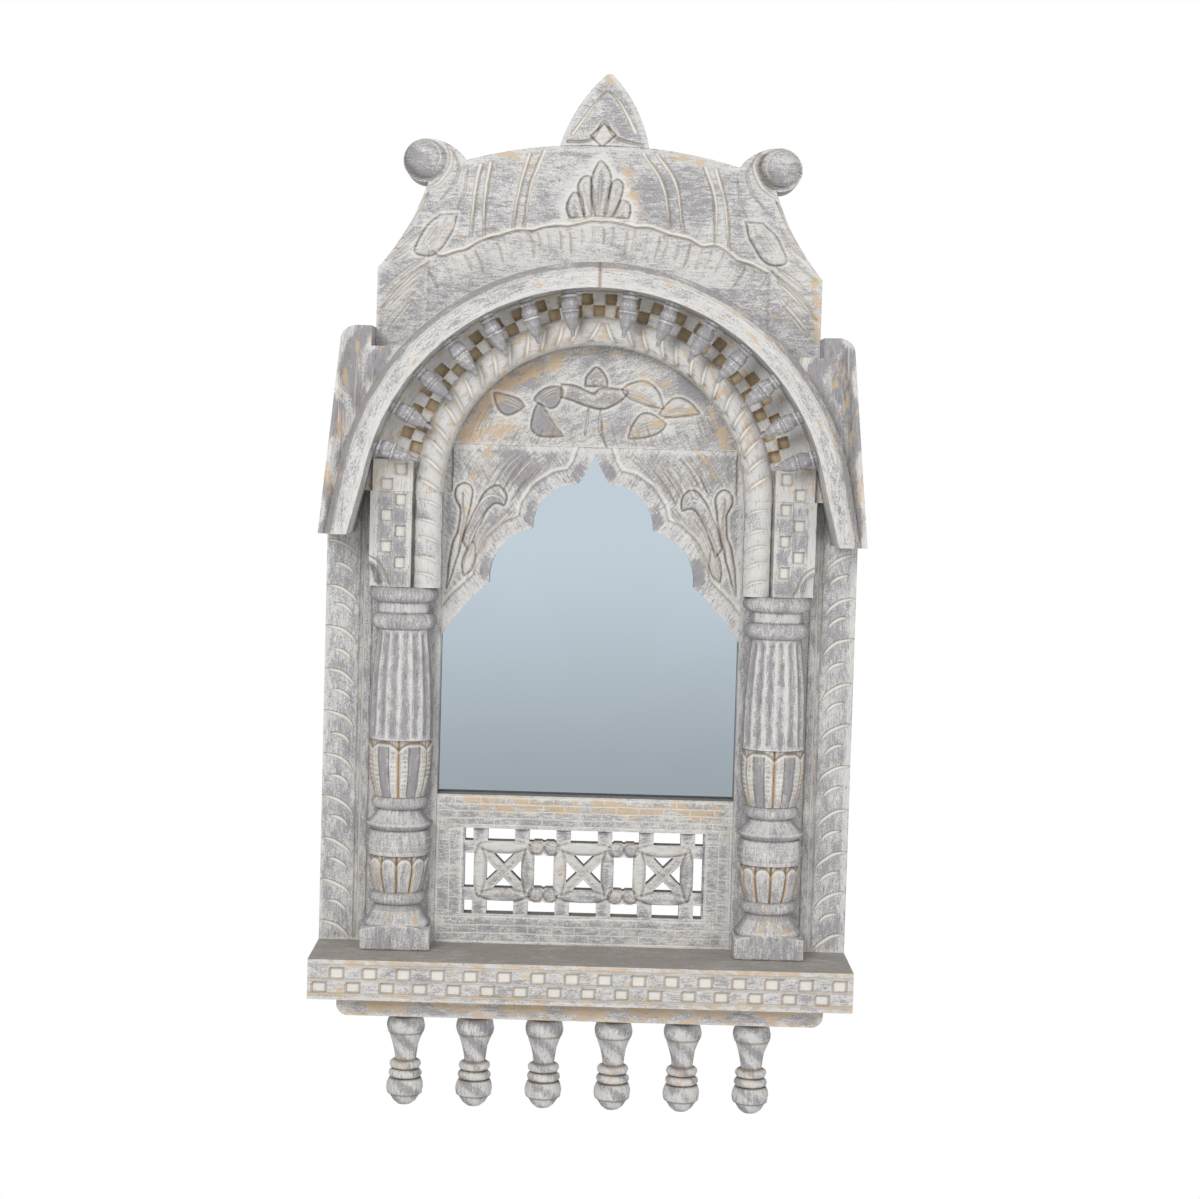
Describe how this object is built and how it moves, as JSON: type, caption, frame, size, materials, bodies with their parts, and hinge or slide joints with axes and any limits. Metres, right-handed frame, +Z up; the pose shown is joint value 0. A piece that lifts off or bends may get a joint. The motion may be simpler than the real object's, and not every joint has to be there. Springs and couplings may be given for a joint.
{
  "type": "jharokha mirror",
  "caption": "Carved whitewashed wooden wall mirror shaped as a jharokha: cusped arch, turned columns, projecting arched canopy, domed crown, pierced panel and shelf.",
  "frame": {"origin": "midway between the round holes of the two keyhole hangers, on the plane of the wall", "axes": "+Y from the room into the wall, +Z up, +X to the right as seen from the room"},
  "size_m": [0.474, 0.125, 0.9099],
  "materials": {
    "whitewash": "dry-brushed white over grey, worn to bare wood in places",
    "grey_wash": "grey wash with little white",
    "shelf_wash": "grey-brown wash, rubbed",
    "raw_wood": "bare, sawn",
    "backing": "bare board",
    "mirror": "silvered glass",
    "brass": "dull",
    "steel": "zinc-plated"
  },
  "bodies": {
    "mirror_body": {"left_stile": "whitewash", "right_stile": "whitewash", "top_rail": "raw_wood", "sill_rail": "raw_wood", "jali_panel": "whitewash", "left_spandrel": "whitewash", "right_spandrel": "whitewash", "tympanum": "whitewash", "mirror_glass": "mirror", "mirror_backing": "backing", "left_column": "whitewash", "right_column": "whitewash", "left_pilaster": "whitewash", "right_pilaster": "whitewash", "arch_ring": "whitewash", "left_hood": "whitewash", "right_hood": "whitewash", "left_shoulder": "grey_wash", "right_shoulder": "grey_wash", "crown_panel": "whitewash", "crown_finial": "whitewash", "shelf_board": "shelf_wash", "shelf_step": "whitewash", "left_hanger": "steel", "right_hanger": "steel", "hanger_screws": "steel", "button_screws": "brass", "crown_dowels": "raw_wood", "shelf_screws": "steel", "left_drop_1": "grey_wash", "left_drop_2": "grey_wash", "left_drop_3": "grey_wash", "left_drop_4": "grey_wash", "left_drop_5": "grey_wash", "left_drop_6": "grey_wash", "left_drop_7": "grey_wash", "right_drop_1": "grey_wash", "right_drop_2": "grey_wash", "right_drop_3": "grey_wash", "right_drop_4": "grey_wash", "right_drop_5": "grey_wash", "right_drop_6": "grey_wash", "right_drop_7": "grey_wash", "pendant_1": "whitewash", "pendant_2": "whitewash", "pendant_3": "whitewash", "pendant_4": "whitewash", "pendant_5": "whitewash", "pendant_6": "whitewash"},
    "button_1": {"turn_button_1": "brass"},
    "button_2": {"turn_button_2": "brass"},
    "button_3": {"turn_button_3": "brass"},
    "button_4": {"turn_button_4": "brass"}
  },
  "joints": [
    {"name": "turn_button_1_turn", "type": "hinge", "parent": "mirror_body", "child": "button_1", "pos_m": [-0.157, -0.00435, -0.29], "axis": [0, -1, 0], "range_deg": [0, 90]},
    {"name": "turn_button_2_turn", "type": "hinge", "parent": "mirror_body", "child": "button_2", "pos_m": [-0.157, -0.00435, -0.11], "axis": [0, -1, 0], "range_deg": [0, 90]},
    {"name": "turn_button_3_turn", "type": "hinge", "parent": "mirror_body", "child": "button_3", "pos_m": [0.157, -0.00435, -0.29], "axis": [0, 1, 0], "range_deg": [0, 90]},
    {"name": "turn_button_4_turn", "type": "hinge", "parent": "mirror_body", "child": "button_4", "pos_m": [0.157, -0.00435, -0.11], "axis": [0, 1, 0], "range_deg": [0, 90]}
  ]
}
